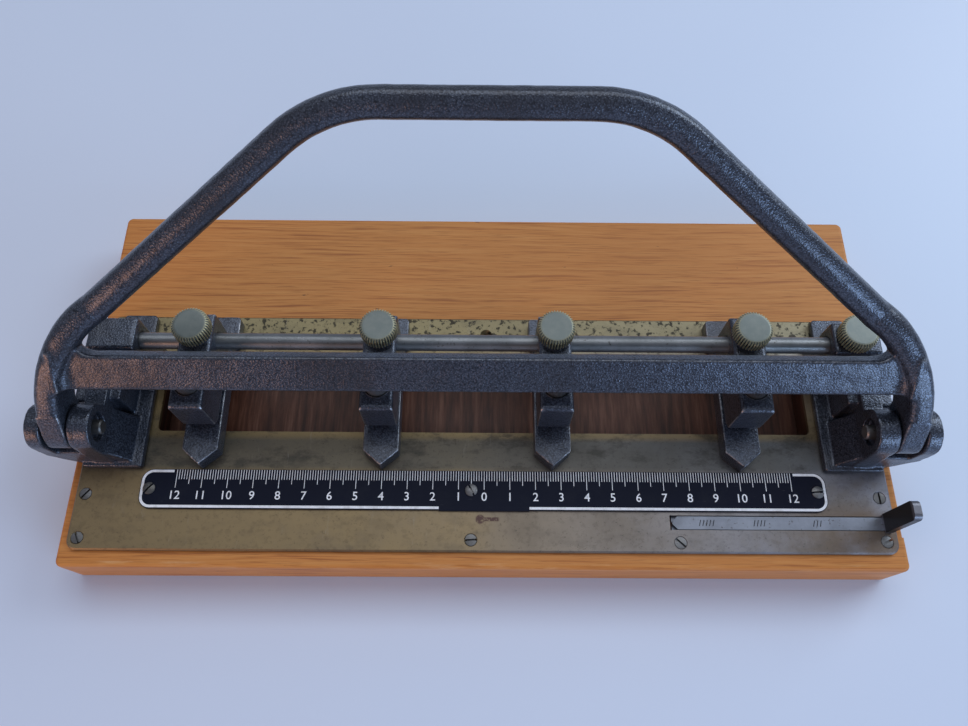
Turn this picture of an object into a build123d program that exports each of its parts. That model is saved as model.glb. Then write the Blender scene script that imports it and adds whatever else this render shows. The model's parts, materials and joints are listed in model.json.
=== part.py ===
from build123d import *
import os
from math import cos, radians, sin

# Four-unit adjustable hole punch on a wooden board. Millimetres.
# X runs along the guide rod, Y from the user's side to the back, Z up.
# The origin is the centre of the board's underside.

# Board and deck plate
BOARD_LENGTH = 324.4
BOARD_DEPTH = 155.5
BOARD_THICKNESS = 22.0
BOARD_CORNER_RADIUS = 2.5
BOARD_EDGE_RADIUS = 1.5
FRONT_Y = -BOARD_DEPTH / 2
PLATE_THICKNESS = 2.0
PLATE_HALF_LENGTH = 158.5
PLATE_FRONT_Y = FRONT_Y + 6.0
PLATE_REAR_Y = FRONT_Y + 104.5
PLATE_CORNER_RADIUS = 4.0
PLATE_BEVEL = 0.6
DECK_Z = BOARD_THICKNESS + PLATE_THICKNESS

# Window in the plate and the chip recess below it
WINDOW_HALF_LENGTH = 131.0
WINDOW_FRONT_Y = FRONT_Y + 53.3
WINDOW_REAR_Y = FRONT_Y + 88.0
WINDOW_CORNER_RADIUS = 2.0
RECESS_MARGIN = 1.0
RECESS_DEPTH = 12.0
RECESS_CORNER_RADIUS = 3.0

# Distance by which a cutter overruns the surface it leaves, or a joined body reaches into its neighbour
OVERRUN = 1.0

# Ruler
RULER_HALF_LENGTH = 133.5
RULER_FRONT_Y = FRONT_Y + 21.8
RULER_REAR_Y = FRONT_Y + 37.2
RULER_THICKNESS = 1.0
RULER_CORNER_RADIUS = 4.6
RULER_TAB_HALF_LENGTH = 17.5
RULER_TAB_REACH = 1.3

# Screws
WOOD_SCREW_SHANK_RADIUS = 1.3
WOOD_SCREW_LENGTH = 12.0
PLATE_SCREW_HEAD_RADIUS = 2.5
PLATE_SCREW_HEAD_HEIGHT = 1.6
RULER_SCREW_HEAD_RADIUS = 2.4
RULER_SCREW_HEAD_HEIGHT = 0.9
SLOT_WIDTH = 0.7
SLOT_DEPTH = 0.6
SCREW_CLEARANCE = 0.02
PLATE_SCREW_SPOTS = [
    (-154.5, FRONT_Y + 10.5),
    (-5.0, FRONT_Y + 10.5),
    (75.0, FRONT_Y + 9.9),
    (154.0, FRONT_Y + 10.7),
    (154.2, FRONT_Y + 27.7),
    (-154.6, FRONT_Y + 27.5),
    (0.5, FRONT_Y + 96.8),
]
RULER_SCREW_SPOTS = [(x, FRONT_Y + 29.5) for x in (-130.0, -5.0, 130.0)]
RIVET_SPOT = (-149.3, FRONT_Y + 31.3)
RIVET_RADIUS = 1.6
RIVET_DEPTH = 6.0

# Pivot of the handle and the guide rod
PIVOT_Y = FRONT_Y + 47.3
PIVOT_Z = DECK_Z + 22.0
PIVOT_PIN_RADIUS = 2.75
PIVOT_PIN_INNER_X = 142.2
PIVOT_PIN_OUTER_X = 165.5
ROD_Y = FRONT_Y + 82.6
ROD_Z = DECK_Z + 22.5
ROD_RADIUS = 3.25
ROD_HALF_LENGTH = 147.5
ROD_END_CHAMFER = 0.6
PIVOT_PIN_CHAMFER = 0.5
ROD_BORE_END_GAP = 0.5
RUNNING_CLEARANCE = 0.05

# Bracket castings, given for the right-hand one
BRACKET_INNER_X = 133.7
FLANGE_OUTER_X = 157.0
FLANGE_FRONT_Y = FRONT_Y + 37.6
FLANGE_REAR_Y = FRONT_Y + 95.0
FLANGE_HEIGHT = 3.0
EAR_INNER_X = 138.0
EAR_REAR_Y = FRONT_Y + 103.5
LUG_INNER_X = 144.0
LUG_OUTER_X = 152.0
LUG_RADIUS = 8.6
LUG_BASE_FRONT_Y = FRONT_Y + 39.3
LUG_BASE_REAR_Y = FRONT_Y + 60.0
HORN_INNER_X = 161.8
HORN_OUTER_X = 167.3
CRADLE_FRONT_Y = FRONT_Y + 39.6
CRADLE_REAR_Y = FRONT_Y + 55.0
CRADLE_HEIGHT = 13.2
CRADLE_UNDERCUT = 9.5
FOOT_INNER_X = 137.5
FOOT_TOP_HEIGHT = 14.5
FOOT_END_Y = FRONT_Y + 58.0
WALL_HEIGHT = 21.0
WEB_FRONT_Y = FRONT_Y + 58.5
WEB_REAR_Y = FRONT_Y + 72.0
WEB_HEIGHT = 19.0
STEP_INNER_X = 140.0
STEP_HEIGHT = 18.5
FLANGE_CORNER_RADIUS = 1.5
EAR_LAP = 4.0
ROD_BLOCK_FRONT_Y = FRONT_Y + 76.3
ROD_BLOCK_REAR_Y = FRONT_Y + 89.3
ROD_BLOCK_HEIGHT = 29.5
ROD_BLOCK_EDGE = 1.2
COUNTERBORE_RADIUS = 5.2
COUNTERBORE_DEPTH = 2.5
BRACKET_SCREW_X = 148.0
BRACKET_SCREW_YS = (FRONT_Y + 64.0, FRONT_Y + 94.0)
BRACKET_SCREW_RADIUS = 2.0
BRACKET_SCREW_HEAD_RADIUS = 3.8
BRACKET_SCREW_HEAD_HEIGHT = 2.6
BRACKET_SCREW_SINK = 3.2
BRACKET_SCREW_ENGAGEMENT = 2.4
BRACKET_SLOT_WIDTH = 1.0
BRACKET_SLOT_DEPTH = 1.2

# Handle casting, drawn in its own plane: x across, y away from the pivot, z to the front
HANDLE_ANGLE = 50.0
HANDLE_PLANE = Plane(
    origin=(0, PIVOT_Y, PIVOT_Z),
    x_dir=(1, 0, 0),
    z_dir=(0, -sin(radians(HANDLE_ANGLE)), cos(radians(HANDLE_ANGLE))),
)
LEG_WIDTH = 8.6
LEG_CENTRE_X = 156.9
EYE_RADIUS = 8.0
EYE_REACH = 9.0
LEG_FRONT = 9.4
LEG_BACK = -7.0
LEG_CORNER_RADIUS = 2.6
BAIL_SHOULDER = (152.9, 33.8)
BAIL_CORNER = (51.5, 117.3)
BAIL_SHOULDER_RADIUS = 42.0
BAIL_CORNER_RADIUS = 50.0
BAIL_RADIUS = 5.3
LEG_SPAN = 46.0
LEG_OVERLAP = 1.0
LEG_DEEP_TO = 14.0
LEG_THINNING_AT = 27.0
LEG_THINNING = 1.0
CROSSBAR_HALF_LENGTH = 153.5
CROSSBAR_NEAR = 18.2
CROSSBAR_FAR = 31.8
CROSSBAR_FRONT = 5.2
CROSSBAR_BACK = -0.8
CROSSBAR_EDGE_RADIUS = 1.0

# Punch units
UNIT_XS = (-110.4, -40.3, 26.6, 100.7)
ARM_HALF_WIDTH = 7.0
UPPER_ARM_HALF_WIDTH = 6.3
FOOT_HALF_WIDTH = 8.5
NOSE_TIP_Y = FRONT_Y + 37.5
NOSE_SHOULDER_Y = FRONT_Y + 43.6
ARM_BOTTOM = 0.1
LOWER_ARM_HEIGHT = 7.5
THROAT_TOP = 9.5
THROAT_LIP_TOP = 12.0
THROAT_LIP_DEPTH = 3.0
THROAT_BACK_Y = FRONT_Y + 71.0
UPPER_ARM_FRONT_Y = FRONT_Y + 52.0
UNIT_TOP = 30.2
UNIT_REAR_Y = FRONT_Y + 91.0
BOSS_TOP = 31.2
BOSS_RADIUS = 5.6
FOOT_FRONT_Y = FRONT_Y + 88.5
FOOT_REAR_Y = FRONT_Y + 101.5
FOOT_HEIGHT = 6.0
UNIT_TOP_EDGE_RADIUS = 1.5
FOOT_CORNER_RADIUS = 1.5

# Punch pin, return spring and die bush of a unit
PUNCH_Y = FRONT_Y + 62.0
PIN_RADIUS = 2.75
PIN_TIP = 9.9
BUTTON_RADIUS = 4.75
BUTTON_BOTTOM = 29.0
BUTTON_TOP = 35.5
BUTTON_EDGE_RADIUS = 0.8
SPRING_WELL_RADIUS = 5.05
SPRING_WELL_FLOOR = 19.0
SPRING_RADIUS = 3.85
SPRING_WIRE_RADIUS = 0.4
SPRING_TURNS = 5
SPRING_END_GAP = 0.02
BUSH_RADIUS = 4.5
BUSH_BORE_RADIUS = 2.85
BUSH_BOTTOM = 2.5
BUSH_FIT = 0.02
CHIP_HOLE_RADIUS = 3.5

# Knurled clamp screws
KNOB_RADIUS = 7.1
KNOB_BEVEL = 0.9
KNOB_BOTTOM = 31.5
KNOB_TOP = 38.0
KNOB_SHANK_RADIUS = 2.0
KNOB_TIP_GAP = 0.1
ROD_KNOB_X = 141.3
ROD_KNOB_BOTTOM = 30.0
ROD_KNOB_TOP = 36.5

# Format slide: a tee-section bar with a finger tab
SLIDE_Y = FRONT_Y + 17.6
SLIDE_LEFT_X = 72.5
SLIDE_RIGHT_X = 156.4
SLIDE_RIB_HALF_WIDTH = 2.5
SLIDE_BASE_HALF_WIDTH = 4.5
SLIDE_BASE_HEIGHT = 2.0
SLIDE_BASE_TOP = BOARD_THICKNESS - 0.1
SLIDE_RIB_TOP = DECK_Z - 0.3
SLIDE_END_BEVEL = 2.0
TAB_THICKNESS = 2.8
TAB_HALF_WIDTH = 3.6
TAB_HEIGHT = 24.0
TAB_LIFT = 0.4
TAB_CORNER_RADIUS = 2.2
GROOVE_CLEARANCE = 0.3
GROOVE_LEFT_X = 71.5


def block(x_range, y_range, z_range):
    """Rectangular block between three pairs of limits."""
    ranges = (x_range, y_range, z_range)
    centre = [(low + high) / 2 for low, high in ranges]
    return Pos(*centre) * Box(*[high - low for low, high in ranges])


def upright(radius, x, y, z_low, z_high):
    """Cylinder standing on its end."""
    return Pos(x, y, (z_low + z_high) / 2) * Cylinder(radius, z_high - z_low)


def lying(radius, y, z, x_low, x_high):
    """Cylinder lying along X."""
    return Pos((x_low + x_high) / 2, y, z) * Rot(0, 90, 0) * Cylinder(radius, x_high - x_low)


def rounded_slab(x_range, y_range, z_range, radius):
    """Flat slab with rounded vertical corners."""
    slab = block(x_range, y_range, z_range)
    return fillet(slab.edges().filter_by(Axis.Z), radius)


def side_profile(points, x_low, x_high):
    """Closed outline of (y, z) points, extruded along X."""
    face = make_face(Polyline(*points, close=True))
    return extrude(Plane.YZ.offset(x_low) * face, amount=x_high - x_low)


def countersunk_screw(x, y, z_top, head_radius, head_height, grow=0.0):
    """Slotted wood screw whose head is flush at z_top; grow widens it into its own hole."""
    head = Cone(WOOD_SCREW_SHANK_RADIUS + grow, head_radius + grow, head_height)
    screw = Pos(x, y, z_top - head_height / 2) * head
    shank = upright(WOOD_SCREW_SHANK_RADIUS + grow, x, y, z_top - WOOD_SCREW_LENGTH, z_top - head_height)
    return screw + shank


def screw_slot(x, y, z_top, radius):
    """Driver slot across a screw head."""
    return block(
        (x - SLOT_WIDTH / 2, x + SLOT_WIDTH / 2),
        (y - radius - OVERRUN, y + radius + OVERRUN),
        (z_top - SLOT_DEPTH, z_top + OVERRUN),
    )


def plate_screw(x, y, grow=0.0):
    return countersunk_screw(x, y, DECK_Z, PLATE_SCREW_HEAD_RADIUS, PLATE_SCREW_HEAD_HEIGHT, grow)


def ruler_screw(x, y, grow=0.0):
    """Cheese-head screw standing on the ruler."""
    seat = DECK_Z + RULER_THICKNESS
    top = seat + RULER_SCREW_HEAD_HEIGHT
    head = upright(RULER_SCREW_HEAD_RADIUS, x, y, seat, top)
    shank = upright(WOOD_SCREW_SHANK_RADIUS + grow, x, y, top - WOOD_SCREW_LENGTH, seat)
    return head + shank


def plate_screws():
    screws = []
    for x, y in PLATE_SCREW_SPOTS:
        screws.append(plate_screw(x, y) - screw_slot(x, y, DECK_Z, PLATE_SCREW_HEAD_RADIUS))
    return Compound(children=screws)


def ruler_screws():
    top = DECK_Z + RULER_THICKNESS + RULER_SCREW_HEAD_HEIGHT
    screws = []
    for x, y in RULER_SCREW_SPOTS:
        screws.append(ruler_screw(x, y) - screw_slot(x, y, top, RULER_SCREW_HEAD_RADIUS))
    return Compound(children=screws)


def plate_rivet():
    x, y = RIVET_SPOT
    return upright(RIVET_RADIUS, x, y, BOARD_THICKNESS - RIVET_DEPTH, DECK_Z)


def bracket_screw(x, y, grow=0.0, sink=0.0):
    """Screw that comes up through the board into a bracket."""
    head_low = BRACKET_SCREW_SINK - BRACKET_SCREW_HEAD_HEIGHT
    head = upright(BRACKET_SCREW_HEAD_RADIUS + grow, x, y, head_low - sink, BRACKET_SCREW_SINK)
    tip = DECK_Z + BRACKET_SCREW_ENGAGEMENT
    shank = upright(BRACKET_SCREW_RADIUS + grow, x, y, BRACKET_SCREW_SINK, tip)
    return head + shank


def bracket_screw_spots():
    return [(side * BRACKET_SCREW_X, y) for side in (-1, 1) for y in BRACKET_SCREW_YS]


def bracket_screws():
    screws = []
    for x, y in bracket_screw_spots():
        slot = block(
            (x - BRACKET_SLOT_WIDTH / 2, x + BRACKET_SLOT_WIDTH / 2),
            (y - BRACKET_SCREW_HEAD_RADIUS - OVERRUN, y + BRACKET_SCREW_HEAD_RADIUS + OVERRUN),
            (0, BRACKET_SCREW_SINK - BRACKET_SCREW_HEAD_HEIGHT + BRACKET_SLOT_DEPTH),
        )
        screws.append(bracket_screw(x, y) - slot)
    return Compound(children=screws)


def screw_holes():
    """Everything that the screws and the rivet bore out of the board and the plate."""
    holes = [plate_screw(x, y, SCREW_CLEARANCE) for x, y in PLATE_SCREW_SPOTS]
    holes += [ruler_screw(x, y, SCREW_CLEARANCE) for x, y in RULER_SCREW_SPOTS]
    holes += [bracket_screw(x, y, SCREW_CLEARANCE, OVERRUN) for x, y in bracket_screw_spots()]
    x, y = RIVET_SPOT
    rivet_low = BOARD_THICKNESS - RIVET_DEPTH
    holes.append(upright(RIVET_RADIUS + SCREW_CLEARANCE, x, y, rivet_low, DECK_Z + OVERRUN))
    return holes


def wooden_board():
    half = BOARD_LENGTH / 2
    body = rounded_slab((-half, half), (FRONT_Y, -FRONT_Y), (0, BOARD_THICKNESS), BOARD_CORNER_RADIUS)
    body = fillet(body.faces().sort_by(Axis.Z)[-1].edges(), BOARD_EDGE_RADIUS)
    body = fillet(body.faces().sort_by(Axis.Z)[0].edges(), BOARD_EDGE_RADIUS)
    recess_x = WINDOW_HALF_LENGTH + RECESS_MARGIN
    body -= rounded_slab(
        (-recess_x, recess_x),
        (WINDOW_FRONT_Y - RECESS_MARGIN, WINDOW_REAR_Y + RECESS_MARGIN),
        (BOARD_THICKNESS - RECESS_DEPTH, BOARD_THICKNESS + 2 * RECESS_CORNER_RADIUS),
        RECESS_CORNER_RADIUS,
    )
    groove = SLIDE_BASE_HALF_WIDTH + GROOVE_CLEARANCE
    body -= block(
        (GROOVE_LEFT_X, half + OVERRUN),
        (SLIDE_Y - groove, SLIDE_Y + groove),
        (BOARD_THICKNESS - SLIDE_BASE_HEIGHT - GROOVE_CLEARANCE, BOARD_THICKNESS + OVERRUN),
    )
    for hole in screw_holes():
        body -= hole
    return body


def base_plate():
    body = rounded_slab(
        (-PLATE_HALF_LENGTH, PLATE_HALF_LENGTH),
        (PLATE_FRONT_Y, PLATE_REAR_Y),
        (BOARD_THICKNESS, DECK_Z),
        PLATE_CORNER_RADIUS,
    )
    body = chamfer(body.faces().sort_by(Axis.Z)[-1].edges(), PLATE_BEVEL)
    body -= rounded_slab(
        (-WINDOW_HALF_LENGTH, WINDOW_HALF_LENGTH),
        (WINDOW_FRONT_Y, WINDOW_REAR_Y),
        (BOARD_THICKNESS - OVERRUN, DECK_Z + OVERRUN),
        WINDOW_CORNER_RADIUS,
    )
    slot = SLIDE_RIB_HALF_WIDTH + GROOVE_CLEARANCE
    body -= block(
        (GROOVE_LEFT_X, PLATE_HALF_LENGTH + OVERRUN),
        (SLIDE_Y - slot, SLIDE_Y + slot),
        (BOARD_THICKNESS - OVERRUN, DECK_Z + OVERRUN),
    )
    for hole in screw_holes():
        body -= hole
    return body


def ruler():
    """Scale strip with a short tab on its front edge."""
    strip = rounded_slab(
        (-RULER_HALF_LENGTH, RULER_HALF_LENGTH),
        (RULER_FRONT_Y, RULER_REAR_Y),
        (DECK_Z, DECK_Z + RULER_THICKNESS),
        RULER_CORNER_RADIUS,
    )
    strip += block(
        (-RULER_TAB_HALF_LENGTH, RULER_TAB_HALF_LENGTH),
        (RULER_FRONT_Y - RULER_TAB_REACH, RULER_REAR_Y),
        (DECK_Z, DECK_Z + RULER_THICKNESS),
    )
    for x, y in RULER_SCREW_SPOTS:
        strip -= ruler_screw(x, y, SCREW_CLEARANCE)
    return strip


def format_slide():
    """Tee-section bar that pulls out to the right, with a rounded finger tab at its end."""
    base_low = BOARD_THICKNESS - SLIDE_BASE_HEIGHT
    bar = block(
        (SLIDE_LEFT_X, SLIDE_RIGHT_X),
        (SLIDE_Y - SLIDE_BASE_HALF_WIDTH, SLIDE_Y + SLIDE_BASE_HALF_WIDTH),
        (base_low, SLIDE_BASE_TOP),
    )
    rib = block(
        (SLIDE_LEFT_X, SLIDE_RIGHT_X),
        (SLIDE_Y - SLIDE_RIB_HALF_WIDTH, SLIDE_Y + SLIDE_RIB_HALF_WIDTH),
        (base_low, SLIDE_RIB_TOP),
    )
    rib = chamfer(rib.faces().sort_by(Axis.X)[0].edges().filter_by(Axis.Z), SLIDE_END_BEVEL)
    tab = block(
        (SLIDE_RIGHT_X - TAB_THICKNESS, SLIDE_RIGHT_X),
        (SLIDE_Y - TAB_HALF_WIDTH, SLIDE_Y + TAB_HALF_WIDTH),
        (DECK_Z + TAB_LIFT, DECK_Z + TAB_HEIGHT),
    )
    tab = fillet(tab.faces().sort_by(Axis.Z)[-1].edges().filter_by(Axis.X), TAB_CORNER_RADIUS)
    neck = block(
        (SLIDE_RIGHT_X - TAB_THICKNESS, SLIDE_RIGHT_X),
        (SLIDE_Y - SLIDE_RIB_HALF_WIDTH, SLIDE_Y + SLIDE_RIB_HALF_WIDTH),
        (SLIDE_RIB_TOP - OVERRUN, DECK_Z + OVERRUN),
    )
    return bar + rib + neck + tab


def lug_profile(x_low, x_high, base_front_y, base_rear_y, base_z, radius):
    """Round-topped ear about the pivot axis that widens down to a flat base."""
    crown = Pos(PIVOT_Y, PIVOT_Z) * Circle(radius)
    foot = Line((base_front_y, base_z), (base_rear_y, base_z))
    outline = make_hull(crown.edges() + foot.edges())
    return extrude(Plane.YZ.offset(x_low) * outline, amount=x_high - x_low)


def rod_block():
    body = block(
        (BRACKET_INNER_X, LUG_OUTER_X),
        (ROD_BLOCK_FRONT_Y, ROD_BLOCK_REAR_Y),
        (DECK_Z, DECK_Z + ROD_BLOCK_HEIGHT),
    )
    return fillet(body.faces().sort_by(Axis.Z)[-1].edges(), ROD_BLOCK_EDGE)


def cradle():
    """Web that carries the outer horn past the edge of the board."""
    outline = Polyline(
        (LUG_OUTER_X - OVERRUN, DECK_Z),
        (PLATE_HALF_LENGTH, DECK_Z),
        (HORN_OUTER_X, DECK_Z + CRADLE_UNDERCUT),
        (HORN_OUTER_X, DECK_Z + CRADLE_HEIGHT),
        (LUG_OUTER_X - OVERRUN, DECK_Z + CRADLE_HEIGHT),
        close=True,
    )
    face = Plane.XZ.offset(-CRADLE_FRONT_Y) * make_face(outline)
    return extrude(face, amount=-(CRADLE_REAR_Y - CRADLE_FRONT_Y))


def sloped_foot():
    """Foot that slopes from the lug's inner face down to the flange."""
    outline = Polyline(
        (LUG_INNER_X + OVERRUN, DECK_Z),
        (FOOT_INNER_X, DECK_Z),
        (FOOT_INNER_X, DECK_Z + FLANGE_HEIGHT),
        (LUG_INNER_X, DECK_Z + FOOT_TOP_HEIGHT),
        (LUG_INNER_X + OVERRUN, DECK_Z + FOOT_TOP_HEIGHT),
        close=True,
    )
    face = Plane.XZ.offset(-CRADLE_FRONT_Y) * make_face(outline)
    return extrude(face, amount=-(FOOT_END_Y - CRADLE_FRONT_Y))


def right_bracket(clamp_hole):
    """Casting that holds the handle's pivot and one end of the rod."""
    body = rounded_slab(
        (BRACKET_INNER_X, FLANGE_OUTER_X),
        (FLANGE_FRONT_Y, FLANGE_REAR_Y),
        (DECK_Z, DECK_Z + FLANGE_HEIGHT),
        FLANGE_CORNER_RADIUS,
    )
    body += rounded_slab(
        (EAR_INNER_X, LUG_OUTER_X),
        (FLANGE_REAR_Y - EAR_LAP, EAR_REAR_Y),
        (DECK_Z, DECK_Z + FLANGE_HEIGHT),
        FLANGE_CORNER_RADIUS,
    )
    body += lug_profile(LUG_INNER_X, LUG_OUTER_X, LUG_BASE_FRONT_Y, LUG_BASE_REAR_Y, DECK_Z, LUG_RADIUS)
    horn_z = DECK_Z + CRADLE_UNDERCUT
    body += lug_profile(HORN_INNER_X, HORN_OUTER_X, CRADLE_FRONT_Y, CRADLE_REAR_Y, horn_z, LUG_RADIUS)
    body += cradle()
    wall_rear_y = ROD_BLOCK_FRONT_Y + OVERRUN
    body += block((LUG_INNER_X, LUG_OUTER_X), (PIVOT_Y, wall_rear_y), (DECK_Z, DECK_Z + WALL_HEIGHT))
    web_x = (LUG_OUTER_X - OVERRUN, FLANGE_OUTER_X)
    body += block(web_x, (WEB_FRONT_Y, WEB_REAR_Y), (DECK_Z, DECK_Z + WEB_HEIGHT))
    step_y = (LUG_BASE_REAR_Y, wall_rear_y)
    body += block((STEP_INNER_X, LUG_OUTER_X), step_y, (DECK_Z, DECK_Z + STEP_HEIGHT))
    body += sloped_foot()
    body += rod_block()
    rod_end_x = ROD_HALF_LENGTH + ROD_BORE_END_GAP
    body -= lying(ROD_RADIUS + RUNNING_CLEARANCE, ROD_Y, ROD_Z, BRACKET_INNER_X - OVERRUN, rod_end_x)
    bore_inner_x = LUG_INNER_X - OVERRUN
    body -= lying(PIVOT_PIN_RADIUS + SCREW_CLEARANCE, PIVOT_Y, PIVOT_Z, bore_inner_x, PIVOT_PIN_OUTER_X)
    body -= lying(COUNTERBORE_RADIUS, PIVOT_Y, PIVOT_Z, bore_inner_x, LUG_INNER_X + COUNTERBORE_DEPTH)
    for y in BRACKET_SCREW_YS:
        body -= bracket_screw(BRACKET_SCREW_X, y, SCREW_CLEARANCE)
    if clamp_hole:
        hole_radius = KNOB_SHANK_RADIUS + RUNNING_CLEARANCE
        body -= upright(hole_radius, ROD_KNOB_X, ROD_Y, ROD_Z, DECK_Z + ROD_BLOCK_HEIGHT + OVERRUN)
    return body


def bracket_right():
    return right_bracket(clamp_hole=True)


def bracket_left():
    return mirror(right_bracket(clamp_hole=False), about=Plane.YZ)


def pivot_pin(side):
    pin = lying(PIVOT_PIN_RADIUS, PIVOT_Y, PIVOT_Z, PIVOT_PIN_INNER_X, PIVOT_PIN_OUTER_X)
    pin = chamfer(pin.edges().filter_by(GeomType.CIRCLE), PIVOT_PIN_CHAMFER)
    return pin if side > 0 else mirror(pin, about=Plane.YZ)


def guide_rod():
    rod = lying(ROD_RADIUS, ROD_Y, ROD_Z, -ROD_HALF_LENGTH, ROD_HALF_LENGTH)
    return chamfer(rod.edges().filter_by(GeomType.CIRCLE), ROD_END_CHAMFER)


def handle_path():
    """Centre line of the handle in its own plane, from the left pivot round to the right one."""
    half = [(LEG_CENTRE_X, EYE_REACH), BAIL_SHOULDER, BAIL_CORNER]
    points = [(-x, y) for x, y in half] + half[::-1]
    radii = [BAIL_SHOULDER_RADIUS, BAIL_CORNER_RADIUS, BAIL_CORNER_RADIUS, BAIL_SHOULDER_RADIUS]
    return FilletPolyline(*points, radius=radii)


def bail():
    """Round bar from leg to leg: two straight sides and a level grip."""
    start = handle_path().position_at(LEG_SPAN - LEG_OVERLAP, position_mode=PositionMode.LENGTH)
    corner_x, corner_y = BAIL_CORNER
    path = FilletPolyline(
        start, (-corner_x, corner_y), (corner_x, corner_y), (-start.X, start.Y), radius=BAIL_CORNER_RADIUS
    )
    return sweep(Plane(origin=path @ 0, z_dir=path % 0) * Circle(BAIL_RADIUS), path=path)


def leg_section(path, along, width, front, back, radius):
    """Rounded section of a leg, square to the bail's centre line."""
    origin = path.position_at(along, position_mode=PositionMode.LENGTH)
    tangent = path.tangent_at(along, position_mode=PositionMode.LENGTH)
    plane = Plane(origin=origin, x_dir=Vector(0, 0, 1), z_dir=tangent)
    return plane * Pos((front + back) / 2, 0) * RectangleRounded(front - back, width, radius)


def handle_leg():
    """Left leg: a round eye at the pivot, deepest at the crossbar, thinning into the bail."""
    path = handle_path()
    deep_radius = LEG_CORNER_RADIUS + 0.2
    thinning_radius = LEG_CORNER_RADIUS + LEG_THINNING + 0.2
    bail_front = BAIL_RADIUS + 0.3
    bail_back = -BAIL_RADIUS - 0.1
    sections = [
        leg_section(path, 0, LEG_WIDTH, LEG_FRONT, LEG_BACK, LEG_CORNER_RADIUS),
        leg_section(path, LEG_DEEP_TO, LEG_WIDTH, LEG_FRONT, LEG_BACK, deep_radius),
        leg_section(
            path,
            LEG_THINNING_AT,
            LEG_WIDTH + 0.8,
            LEG_FRONT - LEG_THINNING,
            LEG_BACK + LEG_THINNING,
            thinning_radius,
        ),
        leg_section(path, LEG_SPAN, 2 * BAIL_RADIUS + 0.3, bail_front, bail_back, BAIL_RADIUS - 0.05),
    ]
    body = loft(sections)
    low_x = -LEG_CENTRE_X - LEG_WIDTH / 2
    eye = Circle(EYE_RADIUS)
    neck = Pos(EYE_REACH, (LEG_FRONT + LEG_BACK) / 2) * Rectangle(0.2, LEG_FRONT - LEG_BACK)
    outline = make_hull(eye.edges() + neck.edges())
    body += extrude(Plane.YZ.offset(low_x) * outline, amount=LEG_WIDTH)
    return body


def crossbar():
    bar = block(
        (-CROSSBAR_HALF_LENGTH, CROSSBAR_HALF_LENGTH),
        (CROSSBAR_NEAR, CROSSBAR_FAR),
        (CROSSBAR_BACK, CROSSBAR_FRONT),
    )
    return fillet(bar.edges().filter_by(Axis.X), CROSSBAR_EDGE_RADIUS)


def handle():
    """One casting: bail, two legs with pivot eyes, and the crossbar that drives the punches."""
    leg = handle_leg()
    body = bail() + leg + mirror(leg, about=Plane.YZ) + crossbar()
    bore = PIVOT_PIN_RADIUS + RUNNING_CLEARANCE
    body -= lying(bore, 0, 0, -HORN_OUTER_X, HORN_OUTER_X)
    return HANDLE_PLANE * body


def nose_outline():
    """Plan of the lower arm: a straight arm with a pointed tip."""
    return Polyline(
        (-ARM_HALF_WIDTH, UNIT_REAR_Y),
        (-ARM_HALF_WIDTH, NOSE_SHOULDER_Y),
        (0, NOSE_TIP_Y),
        (ARM_HALF_WIDTH, NOSE_SHOULDER_Y),
        (ARM_HALF_WIDTH, UNIT_REAR_Y),
        close=True,
    )


def punch_body(x):
    """C-shaped casting that slides on the rod: die arm below, punch arm above, foot behind."""
    sole = Pos(0, 0, ARM_BOTTOM) * make_face(nose_outline())
    lower = extrude(sole, amount=LOWER_ARM_HEIGHT - ARM_BOTTOM)
    upper = side_profile(
        [
            (UPPER_ARM_FRONT_Y, UNIT_TOP),
            (UPPER_ARM_FRONT_Y, THROAT_LIP_TOP),
            (UPPER_ARM_FRONT_Y + THROAT_LIP_DEPTH, THROAT_TOP),
            (UNIT_REAR_Y, THROAT_TOP),
            (UNIT_REAR_Y, UNIT_TOP),
        ],
        -UPPER_ARM_HALF_WIDTH,
        UPPER_ARM_HALF_WIDTH,
    )
    upper = fillet(upper.faces().sort_by(Axis.Z)[-1].edges(), UNIT_TOP_EDGE_RADIUS)
    column = block(
        (-UPPER_ARM_HALF_WIDTH, UPPER_ARM_HALF_WIDTH),
        (THROAT_BACK_Y, UNIT_REAR_Y),
        (LOWER_ARM_HEIGHT - OVERRUN, THROAT_TOP + OVERRUN),
    )
    foot = rounded_slab(
        (-FOOT_HALF_WIDTH, FOOT_HALF_WIDTH),
        (FOOT_FRONT_Y, FOOT_REAR_Y),
        (ARM_BOTTOM, FOOT_HEIGHT),
        FOOT_CORNER_RADIUS,
    )
    boss = upright(BOSS_RADIUS, 0, ROD_Y, UNIT_TOP - OVERRUN, BOSS_TOP)
    body = lower + upper + column + foot + boss
    rod_height = ROD_Z - DECK_Z
    body -= lying(ROD_RADIUS + RUNNING_CLEARANCE, ROD_Y, rod_height, -FOOT_HALF_WIDTH, FOOT_HALF_WIDTH)
    body -= upright(KNOB_SHANK_RADIUS + RUNNING_CLEARANCE, 0, ROD_Y, rod_height, BOSS_TOP + OVERRUN)
    body -= upright(SPRING_WELL_RADIUS, 0, PUNCH_Y, SPRING_WELL_FLOOR, UNIT_TOP + OVERRUN)
    pin_bore = (THROAT_TOP - OVERRUN, SPRING_WELL_FLOOR + OVERRUN)
    body -= upright(PIN_RADIUS + RUNNING_CLEARANCE, 0, PUNCH_Y, *pin_bore)
    body -= upright(BUSH_RADIUS, 0, PUNCH_Y, BUSH_BOTTOM, LOWER_ARM_HEIGHT + OVERRUN)
    body -= upright(CHIP_HOLE_RADIUS, 0, PUNCH_Y, -OVERRUN, BUSH_BOTTOM + OVERRUN)
    return Pos(x, 0, DECK_Z) * body


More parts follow.
